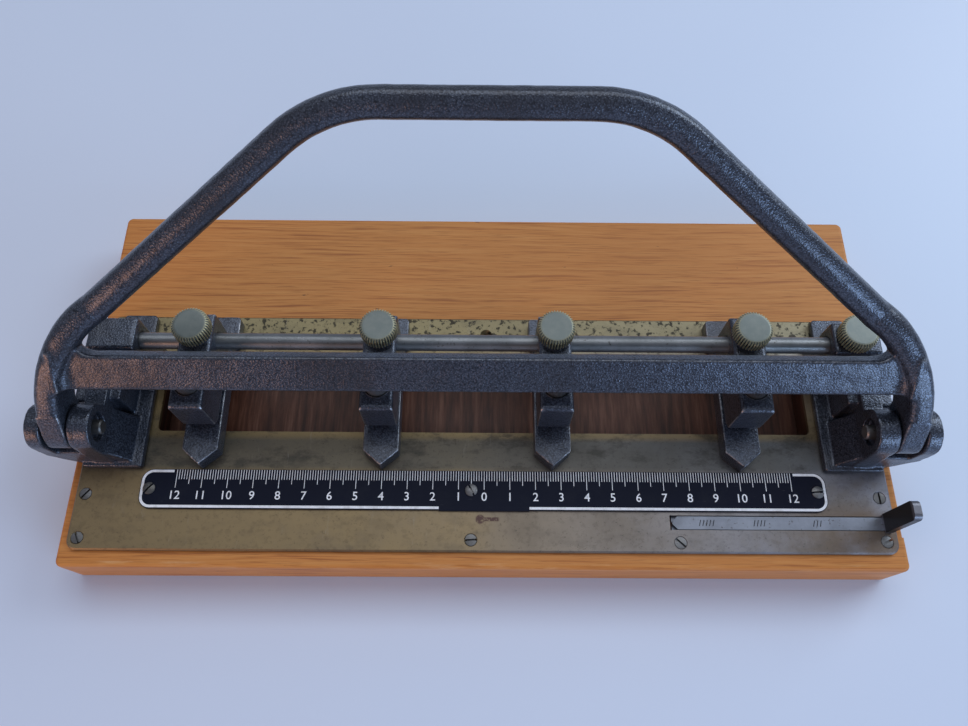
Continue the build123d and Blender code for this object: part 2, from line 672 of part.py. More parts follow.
def punch_pin(x):
    """Cutting pin with a domed button that the crossbar presses."""
    button = upright(BUTTON_RADIUS, 0, PUNCH_Y, BUTTON_BOTTOM, BUTTON_TOP)
    button = fillet(button.faces().sort_by(Axis.Z)[-1].edges(), BUTTON_EDGE_RADIUS)
    pin = button + upright(PIN_RADIUS, 0, PUNCH_Y, PIN_TIP, BUTTON_BOTTOM + OVERRUN)
    return Pos(x, 0, DECK_Z) * pin


def return_spring(x):
    """Coil spring between the floor of the well and the button."""
    low = SPRING_WELL_FLOOR + SPRING_WIRE_RADIUS + SPRING_END_GAP
    height = BUTTON_BOTTOM - SPRING_END_GAP - SPRING_WIRE_RADIUS - low
    coil = Helix(pitch=height / SPRING_TURNS, height=height, radius=SPRING_RADIUS)
    wire = Plane(origin=coil @ 0, z_dir=coil % 0) * Circle(SPRING_WIRE_RADIUS)
    return Pos(x, PUNCH_Y, DECK_Z + low) * sweep(wire, path=coil)


def die_bush(x):
    """Hardened ring that the pin cuts against."""
    ring = upright(BUSH_RADIUS - BUSH_FIT, 0, PUNCH_Y, BUSH_BOTTOM, LOWER_ARM_HEIGHT)
    ring -= upright(BUSH_BORE_RADIUS, 0, PUNCH_Y, BUSH_BOTTOM - OVERRUN, LOWER_ARM_HEIGHT + OVERRUN)
    return Pos(x, 0, DECK_Z) * ring


def clamp_screw(x, bottom, top):
    """Thumb screw whose tip bears on the rod."""
    head = upright(KNOB_RADIUS, 0, ROD_Y, bottom, top)
    head = chamfer(head.edges().filter_by(GeomType.CIRCLE), KNOB_BEVEL)
    tip = ROD_Z - DECK_Z + ROD_RADIUS + KNOB_TIP_GAP
    return Pos(x, 0, DECK_Z) * (head + upright(KNOB_SHANK_RADIUS, 0, ROD_Y, tip, bottom + OVERRUN))


def clamp_knob(x):
    return clamp_screw(x, KNOB_BOTTOM, KNOB_TOP)


def rod_clamp_knob():
    return clamp_screw(ROD_KNOB_X, ROD_KNOB_BOTTOM, ROD_KNOB_TOP)


def build_all():
    parts = {
        "wooden_board": wooden_board(),
        "base_plate": base_plate(),
        "plate_screws": plate_screws(),
        "plate_rivet": plate_rivet(),
        "ruler": ruler(),
        "ruler_screws": ruler_screws(),
        "format_slide": format_slide(),
        "bracket_left": bracket_left(),
        "bracket_right": bracket_right(),
        "bracket_screws": bracket_screws(),
        "pivot_pin_left": pivot_pin(-1),
        "pivot_pin_right": pivot_pin(1),
        "handle": handle(),
        "guide_rod": guide_rod(),
        "rod_clamp_knob": rod_clamp_knob(),
    }
    makers = (punch_body, punch_pin, return_spring, die_bush, clamp_knob)
    for number, x in enumerate(UNIT_XS, start=1):
        for make in makers:
            parts[f"{make.__name__}_{number}"] = make(x)
    return parts


os.makedirs("parts", exist_ok=True)
for name, shape in build_all().items():
    export_step(shape, f"parts/{name}.step")
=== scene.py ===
import json
from math import atan2, ceil, cos, pi, radians, sin, sqrt, tan

import bmesh
import bpy
from mathutils import Matrix, Vector, noise


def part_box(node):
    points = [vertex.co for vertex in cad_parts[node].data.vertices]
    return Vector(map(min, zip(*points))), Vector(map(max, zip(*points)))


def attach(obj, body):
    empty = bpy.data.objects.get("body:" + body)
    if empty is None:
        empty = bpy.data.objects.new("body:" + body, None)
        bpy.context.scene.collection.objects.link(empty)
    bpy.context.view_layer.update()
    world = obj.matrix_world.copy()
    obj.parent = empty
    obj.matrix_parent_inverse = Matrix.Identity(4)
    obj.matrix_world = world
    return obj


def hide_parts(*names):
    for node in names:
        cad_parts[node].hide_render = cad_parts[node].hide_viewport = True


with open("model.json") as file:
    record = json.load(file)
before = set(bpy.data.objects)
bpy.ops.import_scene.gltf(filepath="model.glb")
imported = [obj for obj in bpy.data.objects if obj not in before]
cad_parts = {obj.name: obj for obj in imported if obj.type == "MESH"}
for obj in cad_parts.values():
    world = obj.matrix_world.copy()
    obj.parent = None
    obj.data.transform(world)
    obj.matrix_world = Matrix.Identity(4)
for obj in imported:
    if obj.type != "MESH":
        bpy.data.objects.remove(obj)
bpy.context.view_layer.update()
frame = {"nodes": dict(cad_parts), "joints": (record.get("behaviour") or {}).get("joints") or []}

# Sizes are in millimetres, as in the CAD; those multiplied by MM and those of the studio are in metres
MM = 0.001
UNITS = (1, 2, 3, 4)

# Camera of the main view
CAMERA_PLACE = Vector((-2.1, -126.65, 329.8)) * MM
CAMERA_PITCH = radians(66.52)
CAMERA_YAW = radians(-0.78)
CAMERA_ROLL = radians(1.13)
CAMERA_LENS = 29.73
CAMERA_SENSOR = 36.0

# Handle, in its own plane: x across, y away from the pivot, z to the front
HANDLE_ANGLE = radians(50)
PIVOT = Vector(next(j for j in frame["joints"] if j["name"] == "handle_hinge")["pos_m"])
BAIL_POINTS = [(-156.9, 9.0), (-152.9, 33.8), (-51.5, 117.3), (51.5, 117.3), (152.9, 33.8), (156.9, 9.0)]
BAIL_RADII = [42.0, 50.0, 50.0, 42.0]
BAIL_RIDGE_HALF = 4.75
BAIL_RIDGE_ROUND = 2.6
BAIL_END_SCALE = 0.8
BAIL_SWELL_LENGTH = 34.0
BAIL_ARC_STEP = 2.0
BAIL_STEP = 3.0
CROSSBAR_FAR = 31.8
CROSSBAR_NEAR = 18.2
CROSSBAR_FRONT = 5.2
LEG_INNER_X = 150.4
LEG_FRONT = 9.2
FILLET_X = 138.4
FILLET_RADIUS = 5.5
FILLET_INNER_X = 138
FILLET_OUTER_X = 150
FILLET_FAR = 40
FILLET_BACK = -0.6
FILLET_FRONT = 5.0
CHEEK_RADIUS = 4.2
CHEEK_INNER_X = 145
CHEEK_PAST_BAR = 3
CHEEK_SHORT_OF_EDGE = 0.3
OVERLAP = 2

# Wood: the rubbed front edge, and the limits of the chip recess
EDGE_WEAR = 2.2 * MM
RECESS_END = 133 * MM
RECESS_FRONT = -26.2 * MM
RECESS_REAR = 11.8 * MM

# Format slide: height where the painted shade on its tab starts, and depths below its top where the
# painted highlight along its top corner fades
TAB_DARK_FROM = 24.6 * MM
TAB_DARK_FADE = 1.0 * MM
TAB_CORNER_FROM = 2.2 * MM
TAB_CORNER_TO = 0.8 * MM

# Base plate: where each kind of tarnish starts and where it is full, along x for the cool right
# and the brown corner, along y for the others
COOL_RIGHT = (20 * MM, 240 * MM)
OLIVE_REAR = (8 * MM, 14 * MM)
DARK_STRIP_FRONT = (-42 * MM, -38 * MM)
DARK_STRIP_REAR = (-12 * MM, -20 * MM)
BRASS_EDGE_FRONT = (-28.5 * MM, -25.5 * MM)
BRASS_EDGE_REAR = (4 * MM, 0.0)
BROWN_CORNER_X = (100 * MM, 150 * MM)
BROWN_CORNER_Y = (-50 * MM, -58 * MM)

# Dark keyhole-shaped stain on the base plate, with its tail to the right
MARK_X = -1.5 * MM
MARK_Y = -59.3 * MM
MARK_RADIUS = 1.9 * MM

# Casting surfaces
WELD_DISTANCE = 0.002 * MM
FINE_VOXEL = 0.42 * MM
COARSE_VOXEL = 0.6 * MM
CAST_RIPPLE = 0.09 * MM
CAST_RIPPLE_SCALE = 260.0
CASTING_SLOT = "hammertone_enamel"

# Knurled knobs
KNOB_TEETH = 40
STEPS_PER_TOOTH = 6
TOOTH_DEPTH = 0.7
KNOB_HEAD_HEIGHT = 6.5
KNOB_CHAMFER = 0.9
KNURL_ROUNDNESS = 0.6
KNOB_SHANK = 2.0
SHANK_CHAMFER = 0.5
SHANK_CENTRE = 0.01
KNOB_UNDERSIDE = 1.5
KNOB_FACE_EDGE = 1.9
FACE_EDGE_DROP = 0.15

# Scale marks
SCALE_HALF = 120
TICK_LENGTHS = {10: 7.4, 5: 5.8, 1: 4.0}
TICK_WIDTH = 0.24
TICK_REAR_GAP = 0.15
MARK_HEIGHT = 0.05
MARK_SINK = 0.01
NUMBER_SIZE = 4.7
NUMBER_DROP = 11.8
NUMBER_BOLD = 0.025
BORDER_WIDTH = 1.0
BORDER_INSET = 0.25
BORDER_PAST_SCALE = 1.2
RULER_CORNER = 4.35
RULER_TAB = 17.5
RULER_TAB_REACH = 1.3
RULER_TAB_SHOWN = 0.3

# Slotted screw heads: their rise is the rim's height over the plate or the ruler
SLOT_WIDTH = 0.75
SLOT_DEPTH = 1.15
PLATE_HEAD = {"radius": 2.28, "rise": -0.05, "dome": 0.12, "depth": 1.4}
RULER_HEAD = {"radius": 2.4, "rise": 0.35, "dome": 0.5, "depth": 1.3}
HEAD_STEPS = 20
HEAD_SHARES = (1.0, 0.97, 0.85, 0.6, 0.3, 0.0)
RIM_DROP = 0.12
FIRST_TURN = 50
TURN_STEP = 67
REAR_SCREWS_FROM = 10.0
REAR_SCREW_SINK = 2.2

# Engraved strokes on the format slide
STROKE_GROUPS = ((83.0, 5), (104.0, 4), (127.0, 3))
STROKE_PITCH = 1.3
STROKE_WIDTH = 0.32
STROKE_HALF_LENGTH = 1.2
STROKE_LEAN = 0.7
SLIDE_SINK = 0.3

# Studio, in metres: each light's place, aim, size, power and color
TABLE_HALF = 3.0
LIGHTS = {
    "window_right": ((1.25, 0.8, 1.0), (0, 0, 0), (1.0, 0.8), 12, (0.78, 0.89, 1.0)),
    "cool_front": ((0.95, -0.95, 0.45), (0, 0, 0.05), (0.7, 0.45), 7.5, (0.50, 0.70, 1.0)),
    "ceiling": ((0.0, 0.75, 1.7), (0, 0.1, 0), (1.6, 1.2), 11, (0.90, 0.95, 1.0)),
    "warm_left": ((-0.85, -0.85, 0.36), (0, 0, 0.05), (0.6, 0.36), 3.6, (1.0, 0.50, 0.30)),
}
SKY_COLOR = (0.72, 0.80, 1.0, 1)
SKY_STRENGTH = 0.31


# ---------------------------------------------------------------- shader helpers
class Shader:
    """A node material whose textures use the CAD frame's own coordinates, in metres."""

    def __init__(self, name, metallic=0.0, coat=0.0, coat_roughness=0.1):
        self.material = bpy.data.materials.new(name)
        self.material.use_nodes = True
        self.nodes = self.material.node_tree.nodes
        self.links = self.material.node_tree.links
        self.surface = self.nodes["Principled BSDF"]
        self.surface.inputs["Metallic"].default_value = metallic
        self.surface.inputs["Coat Weight"].default_value = coat
        self.surface.inputs["Coat Roughness"].default_value = coat_roughness
        self.place = self.add("ShaderNodeTexCoord").outputs["Object"]

    def feed(self, socket, value):
        if isinstance(value, bpy.types.NodeSocket):
            self.links.new(value, socket)
        else:
            socket.default_value = value

    def add(self, kind, inputs=None, **settings):
        node = self.nodes.new(kind)
        for name, value in settings.items():
            setattr(node, name, value)
        for key, value in (inputs or {}).items():
            self.feed(node.inputs[key], value)
        return node

    def math(self, operation, a, b=0.0, clamp=False):
        return self.add("ShaderNodeMath", {0: a, 1: b}, operation=operation, use_clamp=clamp).outputs[0]

    def part(self, share, value):
        """A mask at a share of its full strength."""
        return self.math("MULTIPLY", value, share)

    def both(self, a, *others):
        """Where all masks hold."""
        for other in others:
            a = self.math("MULTIPLY", a, other)
        return a

    def line(self, value, slope, start):
        """A value scaled by slope and raised by start."""
        return self.math("ADD", self.math("MULTIPLY", value, slope), start)

    def vector(self, operation, a, b):
        return self.add("ShaderNodeVectorMath", {0: a, 1: b}, operation=operation).outputs[0]

    def stretch(self, x, y, z):
        return self.vector("MULTIPLY", self.place, (x, y, z))

    def noise(self, scale, vector=None, detail=4.0, roughness=0.5, distortion=0.0):
        values = {"Scale": scale, "Detail": detail, "Roughness": roughness, "Distortion": distortion}
        values["Vector"] = vector or self.place
        return self.add("ShaderNodeTexNoise", values).outputs["Fac"]

    def cells(self, scale, vector):
        values = {"Vector": vector, "Scale": scale}
        return self.add("ShaderNodeTexVoronoi", values, feature="SMOOTH_F1").outputs["Distance"]

    def band(self, value, low, high):
        """0 below low, 1 above high, smooth between them; falls instead if low is above high."""
        values = {"Value": value, "From Min": low, "From Max": high}
        return self.add("ShaderNodeMapRange", values, interpolation_type="SMOOTHSTEP").outputs["Result"]

    def ramp(self, value, *stops):
        node = self.add("ShaderNodeValToRGB", {"Fac": value})
        elements = node.color_ramp.elements
        while len(elements) < len(stops):
            elements.new(0.5)
        for element, (position, color) in zip(elements, stops):
            element.position = position
            element.color = (*color, 1.0)
        return node.outputs["Color"]

    def mix(self, share, a, b):
        """Color a where share is 0, color b where it is 1."""
        node = self.add("ShaderNodeMix", data_type="RGBA", clamp_factor=True)
        self.feed(node.inputs[0], share)
        self.feed(node.inputs[6], a if isinstance(a, bpy.types.NodeSocket) else (*a, 1.0))
        self.feed(node.inputs[7], b if isinstance(b, bpy.types.NodeSocket) else (*b, 1.0))
        return node.outputs[2]

    def split(self):
        """The x, y and z of the place."""
        node = self.add("ShaderNodeSeparateXYZ", {0: self.place})
        return node.outputs[0], node.outputs[1], node.outputs[2]

    def edges(self, low, high):
        """Where a dense mesh is convex, or hollow if low is above high."""
        return self.band(self.add("ShaderNodeNewGeometry").outputs["Pointiness"], low, high)

    def bump(self, height, distance, strength=1.0, normal=None):
        values = {"Height": height, "Distance": distance, "Strength": strength}
        if normal:
            values["Normal"] = normal
        return self.add("ShaderNodeBump", values).outputs["Normal"]

    def finish(self, color, roughness, normal, metallic=None):
        values = {"Base Color": color, "Roughness": roughness, "Normal": normal, "Metallic": metallic}
        for key, value in values.items():
            if value is not None:
                self.feed(self.surface.inputs[key], value)
        return self.material


# ---------------------------------------------------------------- materials
def hammertone(name, wear_low, wear_high, bright):
    """Grey hammer-finish enamel over cast iron: finely dimpled, glossy, rubbed bright on the edges."""
    s = Shader(name, coat=0.3, coat_roughness=0.25)
    waves = {"Vector": s.place, "Scale": 700.0, "Detail": 2.0}
    wander = s.add("ShaderNodeTexNoise", waves).outputs["Color"]
    place = s.vector("ADD", s.place, s.vector("MULTIPLY", wander, (0.5 * MM,) * 3))
    dimples = s.cells(1700.0, place)
    flecks = s.noise(2600.0, place, detail=3.0, roughness=0.6)
    clouds = s.noise(34.0, detail=4.0)
    pale, middle, deep = (0.100, 0.118, 0.160), (0.050, 0.060, 0.084), (0.018, 0.021, 0.031)
    enamel = s.ramp(dimples, (0.10, pale), (0.42, middle), (0.75, deep))
    enamel = s.mix(s.part(0.8, s.band(flecks, 0.60, 0.72)), enamel, (0.26, 0.29, 0.35))
    enamel = s.mix(s.part(0.7, s.band(clouds, 0.45, 0.75)), enamel, (0.036, 0.036, 0.044))
    patchy = s.band(s.noise(140.0, detail=5.0, roughness=0.65), 0.36, 0.62)
    wear = s.both(s.edges(wear_low, wear_high), patchy)
    color = s.mix(wear, enamel, (bright, bright, bright * 1.05))
    rough = s.line(flecks, 0.22, 0.2)
    metallic = s.math("ADD", s.math("MULTIPLY", wear, 0.3), 0.62, clamp=True)
    normal = s.bump(dimples, 0.0002, 0.8)
    normal = s.bump(flecks, 0.00005, 0.5, normal)
    return s.finish(color, rough, normal, metallic)


def varnished_wood():
    """Flat-sawn softwood under amber varnish; inside the chip recess bare and dusty, darkened with painted
    shade.
    """
    s = Shader("varnished_wood", coat=0.08, coat_roughness=0.35)
    s.surface.inputs["Specular IOR Level"].default_value = 0.3
    bend = s.noise(5.0, s.stretch(1.0, 3.0, 3.0), detail=2.0)
    x, y, z = s.split()
    across = s.math("ADD", y, s.part(0.012, bend))
    rings = s.add("ShaderNodeCombineXYZ", {0: s.part(0.03, x), 1: across, 2: z}).outputs[0]
    grain = s.noise(680.0, rings, detail=3.0, roughness=0.6)
    fibres = s.noise(2100.0, s.stretch(0.03, 1.0, 1.0), detail=2.0, roughness=0.7)
    tone = s.noise(9.0, s.stretch(0.5, 1.6, 1.0), detail=2.0)
    pores = s.noise(420.0, s.stretch(0.35, 1.0, 1.0), detail=3.0, roughness=0.6)
    ring_brown, amber, honey = (0.34, 0.110, 0.024), (0.54, 0.205, 0.045), (0.60, 0.255, 0.066)
    color = s.ramp(grain, (0.32, ring_brown), (0.43, amber), (0.66, honey))
    color = s.mix(s.part(0.6, s.band(fibres, 0.5, 0.72)), color, (0.27, 0.082, 0.018))
    color = s.mix(s.part(0.3, s.band(tone, 0.4, 0.7)), color, (0.46, 0.160, 0.034))
    color = s.mix(s.part(0.8, s.band(pores, 0.72, 0.78)), color, (0.06, 0.025, 0.012))
    board_low, board_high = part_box("wooden_board")
    edge_y = s.math("LESS_THAN", y, board_low.y + EDGE_WEAR)
    edge_z = s.math("GREATER_THAN", z, board_high.z - EDGE_WEAR)
    worn = s.noise(300.0, s.stretch(0.12, 1.0, 1.0), detail=5.0, roughness=0.7)
    rubbed = s.both(edge_y, edge_z, s.band(worn, 0.48, 0.66))
    color = s.mix(s.part(0.6, rubbed), color, (0.66, 0.36, 0.16))
    inside_x = s.math("LESS_THAN", s.math("ABSOLUTE", x), RECESS_END)
    behind_front = s.math("GREATER_THAN", y, RECESS_FRONT)
    before_rear = s.math("LESS_THAN", y, RECESS_REAR)
    crosswise = s.noise(420.0, s.stretch(1.0, 0.08, 1.0), detail=4.0, roughness=0.65)
    # Inside the chip recess: bare wood and dust, with painted shade under the plate in the darkest stop
    shade, bare, dust = (0.045, 0.014, 0.007), (0.10, 0.034, 0.018), (0.20, 0.085, 0.052)
    recess_dust_and_shade = s.ramp(crosswise, (0.34, shade), (0.52, bare), (0.72, dust))
    color = s.mix(s.both(inside_x, behind_front, before_rear), color, recess_dust_and_shade)
    rough = s.line(fibres, 0.2, 0.4)
    normal = s.bump(grain, 0.00008, 0.35)
    normal = s.bump(fibres, 0.00004, 0.5, normal)
    return s.finish(color, rough, normal)


def worn_metal(name, dull, clean, roughness, streak=(0.06, 1.0, 1.0)):
    """Bare metal with drawn streaks, cloudy tarnish, dark specks, and grime with painted shade in the
    hollows and corners.
    """
    s = Shader(name, metallic=0.85)
    streaks = s.noise(1800.0, s.stretch(*streak), detail=3.0, roughness=0.65)
    tarnish = s.noise(45.0, detail=5.0, roughness=0.6)
    specks = s.noise(700.0, detail=4.0, roughness=0.6)
    color = s.mix(s.band(tarnish, 0.35, 0.65), dull, clean)
    color = s.mix(s.part(0.35, s.band(streaks, 0.55, 0.8)), color, clean)
    color = s.mix(s.part(0.7, s.band(specks, 0.60, 0.73)), color, (0.05, 0.04, 0.03))
    # Hollows and corners darkened, the screw slots among them: grime and painted shade
    color = s.mix(s.edges(0.48, 0.42), color, (0.012, 0.011, 0.01))
    rough = s.line(streaks, 0.3, roughness - 0.15)
    return s, color, rough, s.bump(streaks, 0.00002, 0.6)


def plain_metal(*values, **settings):
    """Worn metal with nothing more on it."""
    s, color, rough, normal = worn_metal(*values, **settings)
    return s.finish(color, rough, normal)


def slide_metal():
    """The format slide: painted shade on the tab's faces, and a painted highlight on the rib along its
    top.
    """
    s, color, rough, normal = worn_metal("slide_steel", (0.16, 0.17, 0.20), (0.25, 0.27, 0.32), 0.4)
    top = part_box("format_slide")[1].z
    height = s.split()[2]
    # Painted shade on the tab's faces, above TAB_DARK_FROM
    tab = s.band(height, TAB_DARK_FROM, TAB_DARK_FROM + TAB_DARK_FADE)
    # Painted highlight along the slide's top corner
    corner = s.band(height, top - TAB_CORNER_FROM, top - TAB_CORNER_TO)
    color = s.mix(s.part(0.94, tab), color, (0.020, 0.016, 0.016))
    color = s.mix(s.part(0.75, corner), color, (0.22, 0.22, 0.25))
    return s.finish(color, rough, normal)


def keyhole(s, x, y):
    """Mask of the keyhole-shaped stain: a round head with a straight tail."""
    across = s.math("DIVIDE", s.math("SUBTRACT", x, MARK_X), MARK_RADIUS)
    along = s.math("DIVIDE", s.math("SUBTRACT", y, MARK_Y), MARK_RADIUS)
    reach = s.math("ADD", s.both(across, across), s.both(along, along))
    head = s.band(reach, 1.2, 0.5)
    narrow = s.band(s.math("ABSOLUTE", along), 0.5, 0.3)
    tail = s.both(narrow, s.math("GREATER_THAN", across, 0.0), s.band(across, 4.0, 3.5))
    return s.math("MAXIMUM", head, tail)


def deck_metal():
    """The base plate: cool and silvery at the right, tarnished to olive brass at the left and the rear."""
    s = Shader("deck_metal", metallic=0.8)
    x, y = s.split()[:2]
    streaks = s.noise(1300.0, s.stretch(0.05, 1.0, 1.0), detail=3.0, roughness=0.7)
    scratches = s.noise(500.0, s.stretch(1.0, 0.12, 1.0), detail=6.0, roughness=0.75, distortion=0.8)
    clouds = s.noise(22.0, detail=5.0, roughness=0.62)
    spots = s.noise(380.0, detail=5.0, roughness=0.7)
    pits = s.noise(900.0, detail=3.0, roughness=0.7)
    smudges = s.noise(120.0, s.stretch(0.5, 1.0, 1.0), detail=6.0, roughness=0.7)
    lean = s.math("ADD", x, s.part(0.16, clouds))
    rear = s.band(y, *OLIVE_REAR)
    middle = s.both(s.band(y, *DARK_STRIP_FRONT), s.band(y, *DARK_STRIP_REAR))
    brass_edge = s.both(s.band(y, *BRASS_EDGE_FRONT), s.band(y, *BRASS_EDGE_REAR))
    brown = s.both(s.band(x, *BROWN_CORNER_X), s.band(y, *BROWN_CORNER_Y), s.band(clouds, 0.36, 0.56))
    black = s.both(s.band(spots, 0.53, 0.60), s.line(rear, 0.75, 0.14))
    smudged = s.both(s.band(smudges, 0.48, 0.66), s.line(middle, 0.5, 0.2))
    stained = s.both(keyhole(s, x, y), s.band(pits, 0.28, 0.50))
    color = s.mix(s.band(lean, *COOL_RIGHT), (0.235, 0.172, 0.092), (0.235, 0.235, 0.265))
    color = s.mix(s.part(0.55, s.band(clouds, 0.48, 0.66)), color, (0.170, 0.132, 0.088))
    color = s.mix(s.part(0.8, rear), color, (0.235, 0.200, 0.110))
    color = s.mix(black, color, (0.016, 0.014, 0.012))
    color = s.mix(s.part(0.62, middle), color, (0.078, 0.085, 0.082))
    color = s.mix(s.part(0.6, brass_edge), color, (0.30, 0.21, 0.09))
    color = s.mix(s.part(0.7, brown), color, (0.13, 0.078, 0.034))
    color = s.mix(smudged, color, (0.05, 0.046, 0.04))
    color = s.mix(s.part(0.35, s.band(pits, 0.60, 0.68)), color, (0.03, 0.026, 0.022))
    color = s.mix(stained, color, (0.085, 0.050, 0.044))
    color = s.mix(s.part(0.3, s.band(scratches, 0.6, 0.72)), color, (0.30, 0.28, 0.25))
    rough = s.line(clouds, 0.25, 0.34)
    normal = s.bump(streaks, 0.00002, 0.5)
    normal = s.bump(scratches, 0.00003, 0.4, normal)
    return s.finish(color, rough, normal)


def nickel():
    """Dull nickel with grime and painted shade in the knurl's grooves, and brass showing on the tips."""
    s = Shader("knob_nickel", metallic=0.7)
    haze = s.noise(240.0, detail=5.0, roughness=0.65)
    fine = s.noise(2200.0, detail=3.0)
    color = s.mix(s.band(haze, 0.35, 0.7), (0.175, 0.198, 0.188), (0.225, 0.245, 0.225))
    color = s.mix(s.edges(0.515, 0.56), color, (0.58, 0.53, 0.32))
    # Knurl grooves darkened: grime and painted shade
    color = s.mix(s.edges(0.49, 0.45), color, (0.016, 0.014, 0.009))
    return s.finish(color, s.line(haze, 0.25, 0.36), s.bump(fine, 0.00002, 0.5))


def ruler_enamel():
    """Near-black navy enamel with rubbed spots."""
    s = Shader("ruler_enamel")
    s.surface.inputs["Specular IOR Level"].default_value = 0.09
    haze = s.noise(90.0, detail=5.0, roughness=0.65)
    scratches = s.noise(900.0, s.stretch(0.15, 1.0, 1.0), detail=4.0, roughness=0.7)
    color = s.mix(s.band(haze, 0.45, 0.75), (0.005, 0.007, 0.018), (0.010, 0.012, 0.022))
    color = s.mix(s.part(0.5, s.band(scratches, 0.66, 0.78)), color, (0.12, 0.12, 0.13))
    return s.finish(color, s.line(haze, 0.3, 0.32), s.bump(scratches, 0.00001, 0.4))


def ruler_paint():
    """White of the scale marks, slightly yellowed and rubbed."""
    s = Shader("ruler_paint")
    haze = s.noise(300.0, detail=5.0, roughness=0.7)
    color = s.mix(s.band(haze, 0.4, 0.75), (0.86, 0.88, 0.92), (0.6, 0.6, 0.6))
    return s.finish(color, s.line(haze, 0.2, 0.35), s.bump(haze, 0.00001, 0.4))


def table_top():
    """Pale blue-grey laminate with a slow change of tone."""
    s = Shader("table_top")
    haze = s.noise(2.5, detail=3.0)
    fine = s.noise(900.0, detail=3.0)
    color = s.mix(s.band(haze, 0.3, 0.7), (0.61, 0.69, 0.84), (0.64, 0.715, 0.86))
    return s.finish(color, s.line(haze, 0.08, 0.42), s.bump(fine, 0.00001, 0.3))


# ---------------------------------------------------------------- mesh helpers
def add_piece(name, mesh, material, body, slot, *nodes, smooth=True):
    """Adds a mesh, made in the CAD frame, that rides on a body and stands for CAD nodes."""
    piece = bpy.data.objects.new(name, mesh)
    bpy.context.scene.collection.objects.link(piece)
    mesh.materials.clear()
    mesh.materials.append(material)
    mesh.polygons.foreach_set("use_smooth", [smooth] * len(mesh.polygons))
    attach(piece, body)
    if nodes:
        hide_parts(*nodes)
    return piece


def evaluated(data, *modifiers):
    """The mesh that mesh or text data gives after modifiers, each given as (type, settings)."""
    helper = bpy.data.objects.new("helper", data)
    bpy.context.scene.collection.objects.link(helper)
    for kind, settings in modifiers:
        modifier = helper.modifiers.new(kind, kind)
        for key, value in settings.items():
            setattr(modifier, key, value)
    graph = bpy.context.evaluated_depsgraph_get()
    made = bpy.data.meshes.new_from_object(helper.evaluated_get(graph))
    bpy.data.objects.remove(helper)
    return made


def cad_copy(node):
    """A welded copy of a CAD node's mesh."""
    bm = bmesh.new()
    bm.from_mesh(frame["nodes"][node].data)
    bmesh.ops.remove_doubles(bm, verts=bm.verts, dist=WELD_DISTANCE)
    return bm


def finished(bm, name, outward=False):
    """Turns a bmesh into a mesh, with its faces turned outwards if asked."""
    if outward:
        bmesh.ops.recalc_face_normals(bm, faces=bm.faces)
    mesh = bpy.data.meshes.new(name)
    bm.to_mesh(mesh)
    bm.free()
    return mesh


def ring(bm, points, place=Matrix.Identity(4)):
    """Vertices at (x, y, z) points in millimetres, in place's coordinates."""
    return [bm.verts.new(place @ (Vector(point) * MM)) for point in points]


def bridge(bm, rings, closed=True):
    """Joins each ring of vertices to the next one, all the way round or from end to end."""
    for one, two in zip(rings, rings[1:]):
        for i in range(len(one) if closed else len(one) - 1):
            j = (i + 1) % len(one)
            bm.faces.new((one[i], one[j], two[j], two[i]))


def tube(bm, rings):
    """Joins rings of vertices into a solid with flat ends."""
    bridge(bm, rings)
    bm.faces.new(rings[0][::-1])
    bm.faces.new(rings[-1])


def prism(bm, outline, low, high, place=Matrix.Identity(4)):
    """Adds a solid over an outline of (x, y) points, between two heights, in place's coordinates."""
    tube(bm, [ring(bm, [(x, y, height) for x, y in outline], place) for height in (low, high)])


def arc_points(centre, radius, start, end, count):
    """Points on an arc, angles in degrees."""
    angles = [radians(start + (end - start) * i / count) for i in range(count + 1)]
    return [(centre[0] + radius * cos(a), centre[1] + radius * sin(a)) for a in angles]


def rounded_path(points, radii, step):
    """Open path through points with rounded corners, in short steps."""
    corners = [Vector(p) for p in points]
    path = [corners[0]]
    for before, corner, after, radius in zip(corners, corners[1:], corners[2:], radii):
        into, out = (corner - before).normalized(), (after - corner).normalized()
        turn = into.angle(out)
        reach = radius * tan(turn / 2)
        start = corner - into * reach
        side = 1 if into.cross(out) > 0 else -1
        centre = start + Vector((-into.y, into.x)) * radius * side
        count = ceil(radius * turn / step)
        path.append(start)
        arm = start - centre
        for i in range(1, count + 1):
            path.append(centre + Matrix.Rotation(turn * i / count * side, 2) @ arm)
    path.append(corners[-1])
    return path


def sideways(path, i):
    """Unit vector across a path at its point i, to the left."""
    ahead = path[min(i + 1, len(path) - 1)] - path[max(i - 1, 0)]
    return Vector((-ahead.y, ahead.x)).normalized()


def sweep(bm, path, sizes, section, place):
    """Sweeps a section of (across, front) points, scaled by sizes, along a path in place's plane."""
    rings = []
    for i, (point, size) in enumerate(zip(path, sizes)):
        side = sideways(path, i) * size
        spots = [(point + side * a, front * size) for a, front in section]
        rings.append(ring(bm, [(spot.x, spot.y, front) for spot, front in spots], place))
    tube(bm, rings)


def cast_mesh(bm, voxel, passes):
    """Turns overlapping solids into one casting with soft edges and a faintly uneven skin."""
    cast = evaluated(
        finished(bm, "rough", outward=True),
        ("REMESH", {"mode": "VOXEL", "voxel_size": voxel}),
        ("SMOOTH", {"factor": 0.5, "iterations": passes}),
    )
    normals = [n.vector.copy() for n in cast.vertex_normals]
    for vertex, normal in zip(cast.vertices, normals):
        vertex.co += normal * noise.noise(vertex.co * CAST_RIPPLE_SCALE) * CAST_RIPPLE
    return cast


# ---------------------------------------------------------------- castings
def handle_place():
    """Turns the handle's own plane into the CAD frame."""
    return Matrix.Translation(PIVOT) @ Matrix.Rotation(HANDLE_ANGLE, 4, "X")


def dense(path, step):
    """The same path with extra points, none further apart than step."""
    points = [path[0]]
    for one, two in zip(path, path[1:]):
        count = max(1, ceil((two - one).length / step))
        points += [one.lerp(two, i / count) for i in range(1, count + 1)]
    return points


def end_distance(path, point):
    """How far a point is from the nearer end of a path."""
    return min((end - point).length for end in (path[0], path[-1]))


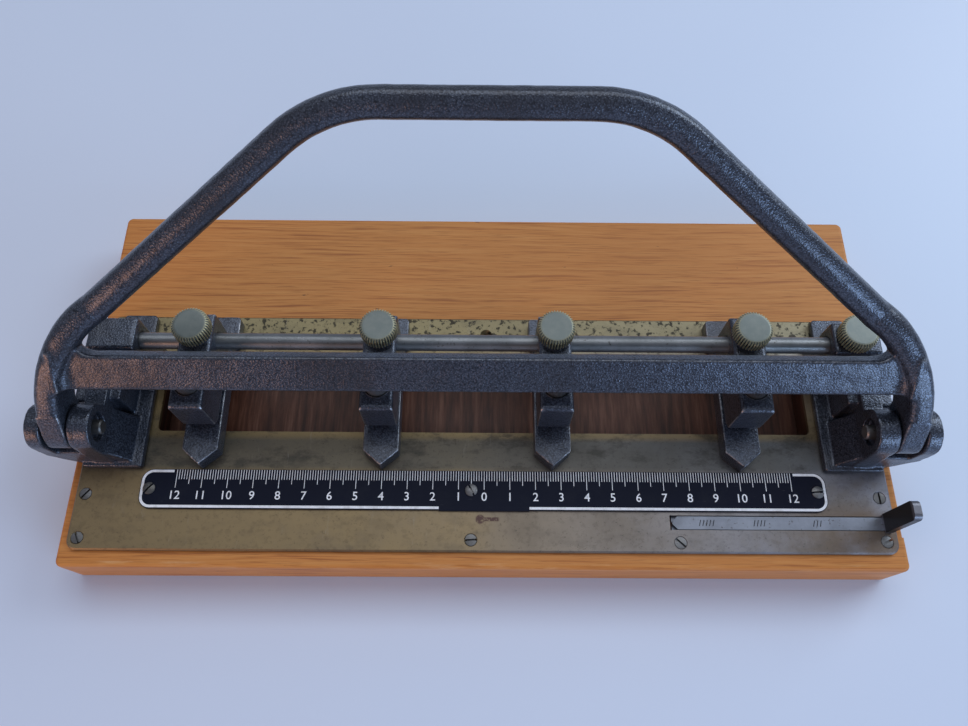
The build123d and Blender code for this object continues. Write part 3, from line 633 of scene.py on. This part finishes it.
def ridge_section():
    """Square with rounded corners, which gives the round bail four soft ridges."""
    inner = BAIL_RIDGE_HALF - BAIL_RIDGE_ROUND
    section = []
    for turn, (side, rise) in zip((0, 90, 180, 270), ((1, 1), (-1, 1), (-1, -1), (1, -1))):
        section += arc_points((inner * side, inner * rise), BAIL_RIDGE_ROUND, turn, turn + 90, 4)
    return section


def crossbar_fillet():
    """Outline that fills the corner between the crossbar's far edge and the leg."""
    outline = arc_points((FILLET_X, CROSSBAR_FAR + FILLET_RADIUS), FILLET_RADIUS, -90, 0, 8)
    outline += [(FILLET_OUTER_X, FILLET_FAR), (FILLET_OUTER_X, CROSSBAR_FAR - OVERLAP)]
    return outline + [(FILLET_INNER_X, CROSSBAR_FAR - OVERLAP)]


def crossbar_cheek():
    """Outline that fills the corner between the crossbar's front and the leg, seen along the leg."""
    centre = (LEG_INNER_X - CHEEK_RADIUS, CROSSBAR_FRONT + CHEEK_RADIUS)
    outline = arc_points(centre, CHEEK_RADIUS, -90, 0, 8)
    outline += [(LEG_INNER_X + OVERLAP, LEG_FRONT), (LEG_INNER_X + OVERLAP, CROSSBAR_FRONT - OVERLAP)]
    return outline + [(CHEEK_INNER_X, CROSSBAR_FRONT - OVERLAP)]


def handle_casting(material):
    """The CAD handle with ridges along the bail and filled corners at the crossbar."""
    bm = cad_copy("handle")
    place = handle_place()
    path = dense(rounded_path(BAIL_POINTS, BAIL_RADII, BAIL_ARC_STEP)[1:-1], BAIL_STEP)
    swell = [min(1.0, end_distance(path, point) / BAIL_SWELL_LENGTH) for point in path]
    sizes = [BAIL_END_SCALE + (1 - BAIL_END_SCALE) * share for share in swell]
    sweep(bm, path, sizes, ridge_section(), place)
    for side in (-1, 1):
        flip = place @ Matrix.Diagonal((side, 1, 1, 1))
        stand = flip @ Matrix.Rotation(pi / 2, 4, "X")
        prism(bm, crossbar_fillet(), FILLET_BACK, FILLET_FRONT, flip)
        near = -CROSSBAR_NEAR - CHEEK_SHORT_OF_EDGE
        prism(bm, crossbar_cheek(), -CROSSBAR_FAR - CHEEK_PAST_BAR, near, stand)
    mesh = cast_mesh(bm, COARSE_VOXEL, passes=9)
    add_piece("handle_casting", mesh, material, "handle", CASTING_SLOT, "handle")


def bracket_castings(material):
    for side in ("left", "right"):
        node = f"bracket_{side}"
        mesh = cast_mesh(cad_copy(node), FINE_VOXEL, passes=7)
        add_piece(f"{node}_casting", mesh, material, "frame", CASTING_SLOT, node)


def unit_castings(material):
    for n in UNITS:
        node = f"punch_body_{n}"
        mesh = cast_mesh(cad_copy(node), FINE_VOXEL, passes=4)
        add_piece(f"{node}_casting", mesh, material, f"unit_{n}", CASTING_SLOT, node)


# ---------------------------------------------------------------- knobs
def knob_profile(radius, tip, base, top):
    """Points of (radius, height, share of the knurl's depth) from the shank's tip to the face's middle."""
    rim = radius - KNOB_CHAMFER
    return [
        (SHANK_CENTRE, tip, 0),
        (KNOB_SHANK - SHANK_CHAMFER, tip, 0),
        (KNOB_SHANK, tip + SHANK_CHAMFER, 0),
        (KNOB_SHANK, base, 0),
        (radius - KNOB_UNDERSIDE, base, 0),
        (rim, base + 0.1, 0.2),
        (radius, base + KNOB_CHAMFER, 1),
        (radius, (base + top) / 2, 1),
        (radius, top - KNOB_CHAMFER, 1),
        (rim, top - FACE_EDGE_DROP, 0.15),
        (rim - 0.3, top, 0),
        (radius - KNOB_FACE_EDGE, top, 0),
        (radius * 0.5, top, 0),
        (radius * 0.2, top, 0),
    ]


def knob_mesh(node):
    """Knurled thumb screw: toothed rim, flat top, plain shank."""
    low, high = (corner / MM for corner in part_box(node))
    centre = (low + high) / 2
    base = high.z - KNOB_HEAD_HEIGHT
    bm = bmesh.new()
    count = KNOB_TEETH * STEPS_PER_TOOTH
    angles = [2 * pi * i / count for i in range(count)]
    grooves = [TOOTH_DEPTH * (1 - (0.5 - 0.5 * cos(a * KNOB_TEETH)) ** KNURL_ROUNDNESS) for a in angles]
    rings = []
    for radius, height, share in knob_profile((high.x - low.x) / 2, low.z, base, high.z):
        reaches = [radius - share * groove for groove in grooves]
        spots = [(centre.x + r * cos(a), centre.y + r * sin(a), height) for r, a in zip(reaches, angles)]
        rings.append(ring(bm, spots))
    tube(bm, rings)
    return finished(bm, node)


def knobs(material):
    owners = {f"clamp_knob_{n}": f"knob_{n}" for n in UNITS}
    owners["rod_clamp_knob"] = "rod_clamp_knob"
    for node, body in owners.items():
        add_piece(f"{node}_knurled", knob_mesh(node), material, body, "knob_nickel", node)


# ---------------------------------------------------------------- ruler
def ruler_strip(material):
    """The CAD strip with its front tab drawn back until it barely projects."""
    bm = cad_copy("ruler")
    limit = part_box("ruler")[0].y + (RULER_TAB_REACH - RULER_TAB_SHOWN) * MM
    for vertex in bm.verts:
        vertex.co.y = max(vertex.co.y, limit)
    mesh = finished(bm, "strip")
    add_piece("ruler_strip", mesh, material, "frame", "ruler_enamel", "ruler", smooth=False)


def border_strip(bm, line, side, top):
    """Flat strip that runs just inside an outline."""
    outer = [Vector(point) for point in line]
    inner = [point + sideways(outer, i) * BORDER_WIDTH * side for i, point in enumerate(outer)]
    edges = ((outer, 0), (outer, MARK_HEIGHT), (inner, MARK_HEIGHT), (inner, 0))
    rows = [ring(bm, [(point.x, point.y, top + rise) for point in edge]) for edge, rise in edges]
    bridge(bm, rows + rows[:1], closed=False)
    bm.faces.new([row[0] for row in rows])
    bm.faces.new([row[-1] for row in rows][::-1])


def ruler_marks(material):
    """Border and ticks, standing a hair above the enamel."""
    low, high = (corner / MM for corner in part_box("ruler"))
    top = high.z - MARK_SINK
    front = low.y + RULER_TAB_REACH + BORDER_INSET
    rear = high.y - BORDER_INSET
    bm = bmesh.new()
    for mark in range(-SCALE_HALF, SCALE_HALF + 1):
        step = next(s for s in (10, 5, 1) if mark % s == 0)
        left, right = mark - TICK_WIDTH / 2, mark + TICK_WIDTH / 2
        near, far = high.y - TICK_LENGTHS[step], high.y - TICK_REAR_GAP
        prism(bm, [(left, near), (right, near), (right, far), (left, far)], top, top + MARK_HEIGHT)
    corner = RULER_CORNER
    for side in (-1, 1):
        end = side * (high.x - BORDER_INSET - corner)
        curve = arc_points((end, front + corner), corner, -90, 0, 10)
        curve += arc_points((end, rear - corner), corner, 0, 90, 10)
        curve = [(end + side * (x - end), y) for x, y in curve]
        line = [(side * RULER_TAB, front)] + curve + [(side * (SCALE_HALF + BORDER_PAST_SCALE), rear)]
        border_strip(bm, line, side, top)
    mesh = finished(bm, "marks", outward=True)
    add_piece("ruler_marks", mesh, material, "frame", "ruler_enamel", smooth=False)


def ruler_numbers(material):
    """Generic centimetre numbers, counted outwards from the middle."""
    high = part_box("ruler")[1]
    bm = bmesh.new()
    for mark in range(-SCALE_HALF, SCALE_HALF + 1, 10):
        curve = bpy.data.curves.new("number", "FONT")
        curve.body = str(abs(mark) // 10)
        curve.size = NUMBER_SIZE * MM
        curve.align_x = "CENTER"
        curve.extrude = MARK_HEIGHT / 2 * MM
        curve.offset = NUMBER_BOLD * MM
        curve.resolution_u = 4
        number = evaluated(curve)
        place = (mark * MM, high.y - NUMBER_DROP * MM, high.z + MARK_HEIGHT / 2 * MM)
        number.transform(Matrix.Translation(place))
        bm.from_mesh(number)
    mesh = finished(bm, "numbers")
    add_piece("ruler_numbers", mesh, material, "frame", "ruler_enamel", smooth=False)


def slide_strokes(material):
    """Generic engraved strokes on the rib of the format slide, as thin dark strips for the grooves' grime
    and painted shade.
    """
    low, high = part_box("format_slide")
    rib_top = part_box("base_plate")[1].z / MM - SLIDE_SINK
    middle = (low.y + high.y) / 2 / MM
    bm = bmesh.new()
    for start, count in STROKE_GROUPS:
        for i in range(count):
            x = start + i * STROKE_PITCH
            foot, head = x - STROKE_LEAN / 2, x + STROKE_LEAN / 2
            front, rear = middle - STROKE_HALF_LENGTH, middle + STROKE_HALF_LENGTH
            outline = [(foot, front), (foot + STROKE_WIDTH, front)]
            outline += [(head + STROKE_WIDTH, rear), (head, rear)]
            prism(bm, outline, rib_top - MARK_HEIGHT, rib_top + MARK_HEIGHT / 2)
    mesh = finished(bm, "strokes", outward=True)
    add_piece("slide_strokes", mesh, material, "format_slide", "slide_steel", smooth=False)


# ---------------------------------------------------------------- screws
def screw_head(bm, x, y, top, head, turn):
    """Low domed disc with a driver slot, built as two half domes beside a sunken channel."""
    slot, radius, foot = SLOT_WIDTH / 2, head["radius"], top - head["depth"]
    reach = sqrt(radius * radius - slot * slot)
    spin = Matrix.Translation((x * MM, y * MM, 0)) @ Matrix.Rotation(turn, 4, "Z")
    start = atan2(slot, reach)
    angles = [start + (pi - 2 * start) * i / HEAD_STEPS for i in range(HEAD_STEPS + 1)]
    rim = [(radius * cos(a), max(radius * sin(a), slot)) for a in angles]
    for side in (-1, 1):
        rings = [ring(bm, [(px, side * py, foot) for px, py in rim], spin)]
        for share in HEAD_SHARES:
            spots = [(px * share, slot + (py - slot) * share) for px, py in rim]
            drop = RIM_DROP if share == 1.0 else 0.0
            rises = [head["dome"] * (1 - (px * px + py * py) / radius**2) - drop for px, py in spots]
            points = [(px, side * py, top + rise) for (px, py), rise in zip(spots, rises)]
            rings.append(ring(bm, points, spin))
        bridge(bm, rings, closed=False)
        bm.faces.new([row[0] for row in rings] + [row[-1] for row in rings[::-1]])
        bm.faces.new(rings[0])
    channel = [(-reach, -slot), (reach, -slot), (reach, slot), (-reach, slot)]
    prism(bm, channel, foot, top - SLOT_DEPTH, spin)


def head_spots(node):
    """Centres of the separate screws of a group, in millimetres, from left to right."""
    bm = cad_copy(node)
    left, spots = set(bm.verts), []
    while left:
        island, queue = set(), [left.pop()]
        while queue:
            vertex = queue.pop()
            island.add(vertex)
            others = {edge.other_vert(vertex) for edge in vertex.link_edges} & left
            left -= others
            queue += others
        xs, ys = [v.co.x for v in island], [v.co.y for v in island]
        spots.append(((min(xs) + max(xs)) / 2 / MM, (min(ys) + max(ys)) / 2 / MM))
    bm.free()
    return sorted(spots)


def screws(material):
    """Slotted heads for the plate's and the ruler's screws, each turned its own way."""
    groups = {"plate_screws": ("base_plate", PLATE_HEAD), "ruler_screws": ("ruler", RULER_HEAD)}
    for node, (surface, head) in groups.items():
        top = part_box(surface)[1].z / MM + head["rise"]
        bm = bmesh.new()
        for i, (x, y) in enumerate(head_spots(node)):
            sunk = REAR_SCREW_SINK if y > REAR_SCREWS_FROM else 0.0
            screw_head(bm, x, y, top - sunk, head, radians(FIRST_TURN + TURN_STEP * i))
        mesh = finished(bm, node, outward=True)
        add_piece(f"{node}_heads", mesh, material, "frame", "screw_steel", node, smooth=False)


# ---------------------------------------------------------------- carried CAD nodes
def paint(node, material):
    mesh = frame["nodes"][node].data
    mesh.materials.clear()
    mesh.materials.append(material)


def paint_nodes(steel):
    """Looks of the CAD nodes that are shown as they are."""
    rod = plain_metal("rod_steel", (0.19, 0.20, 0.205), (0.28, 0.29, 0.30), 0.4, streak=(1.0, 0.1, 0.1))
    spring = plain_metal("spring_steel", (0.05, 0.05, 0.052), (0.12, 0.12, 0.12), 0.4)
    deck = deck_metal()
    paint("wooden_board", varnished_wood())
    paint("base_plate", deck)
    paint("plate_rivet", deck)
    paint("format_slide", slide_metal())
    paint("guide_rod", rod)
    for node in ("bracket_screws", "pivot_pin_left", "pivot_pin_right"):
        paint(node, steel)
    for n in UNITS:
        paint(f"punch_pin_{n}", steel)
        paint(f"die_bush_{n}", steel)
        paint(f"return_spring_{n}", spring)


# ---------------------------------------------------------------- stage
def area_light(name, place, aim, size, power, color):
    data = bpy.data.lights.new(name, "AREA")
    data.shape = "RECTANGLE"
    data.size, data.size_y = size
    data.energy = power
    data.color = color
    light = bpy.data.objects.new(name, data)
    bpy.context.scene.collection.objects.link(light)
    light.location = place
    light.rotation_euler = (Vector(aim) - Vector(place)).to_track_quat("-Z", "Y").to_euler()


def stage():
    """Plain pale table, soft lights and a pale sky."""
    bm = bmesh.new()
    bmesh.ops.create_grid(bm, x_segments=8, y_segments=8, size=TABLE_HALF)
    mesh = finished(bm, "table")
    table = bpy.data.objects.new("table", mesh)
    bpy.context.scene.collection.objects.link(table)
    mesh.materials.append(table_top())
    for name, settings in LIGHTS.items():
        area_light(name, *settings)
    world = bpy.data.worlds.new("studio")
    world.use_nodes = True
    back = world.node_tree.nodes["Background"]
    back.inputs["Color"].default_value = SKY_COLOR
    back.inputs["Strength"].default_value = SKY_STRENGTH
    bpy.context.scene.world = world
    bpy.context.scene.view_settings.view_transform = "Standard"


def camera():
    """The photo's viewpoint: from the level, pitched down, then turned and rolled."""
    pitch = Matrix.Rotation(pi / 2 - CAMERA_PITCH, 4, "X")
    turn = Matrix.Rotation(CAMERA_YAW, 4, "Z") @ pitch @ Matrix.Rotation(CAMERA_ROLL, 4, "Z")
    data = bpy.data.cameras.new("camera")
    data.lens = CAMERA_LENS
    data.sensor_width = CAMERA_SENSOR
    data.clip_start = 0.01
    eye = bpy.data.objects.new("camera", data)
    bpy.context.scene.collection.objects.link(eye)
    eye.matrix_world = Matrix.Translation(CAMERA_PLACE) @ turn
    bpy.context.scene.camera = eye


handle_casting(hammertone("handle_enamel", 0.515, 0.56, 0.36))
bracket_castings(hammertone("bracket_enamel", 0.53, 0.59, 0.36))
unit_castings(hammertone("unit_enamel", 0.515, 0.56, 0.46))
knobs(nickel())
plain_steel = plain_metal("steel", (0.11, 0.105, 0.10), (0.24, 0.24, 0.245), 0.42)
paint_nodes(plain_steel)
ruler_strip(ruler_enamel())
paint_white = ruler_paint()
ruler_marks(paint_white)
ruler_numbers(paint_white)
screws(plain_steel)
# Near-black strokes: grime and painted shade of the engraved grooves
slide_strokes(plain_metal("stroke_grime_and_shade", (0.012, 0.012, 0.014), (0.03, 0.03, 0.034), 0.5))
stage()
camera()
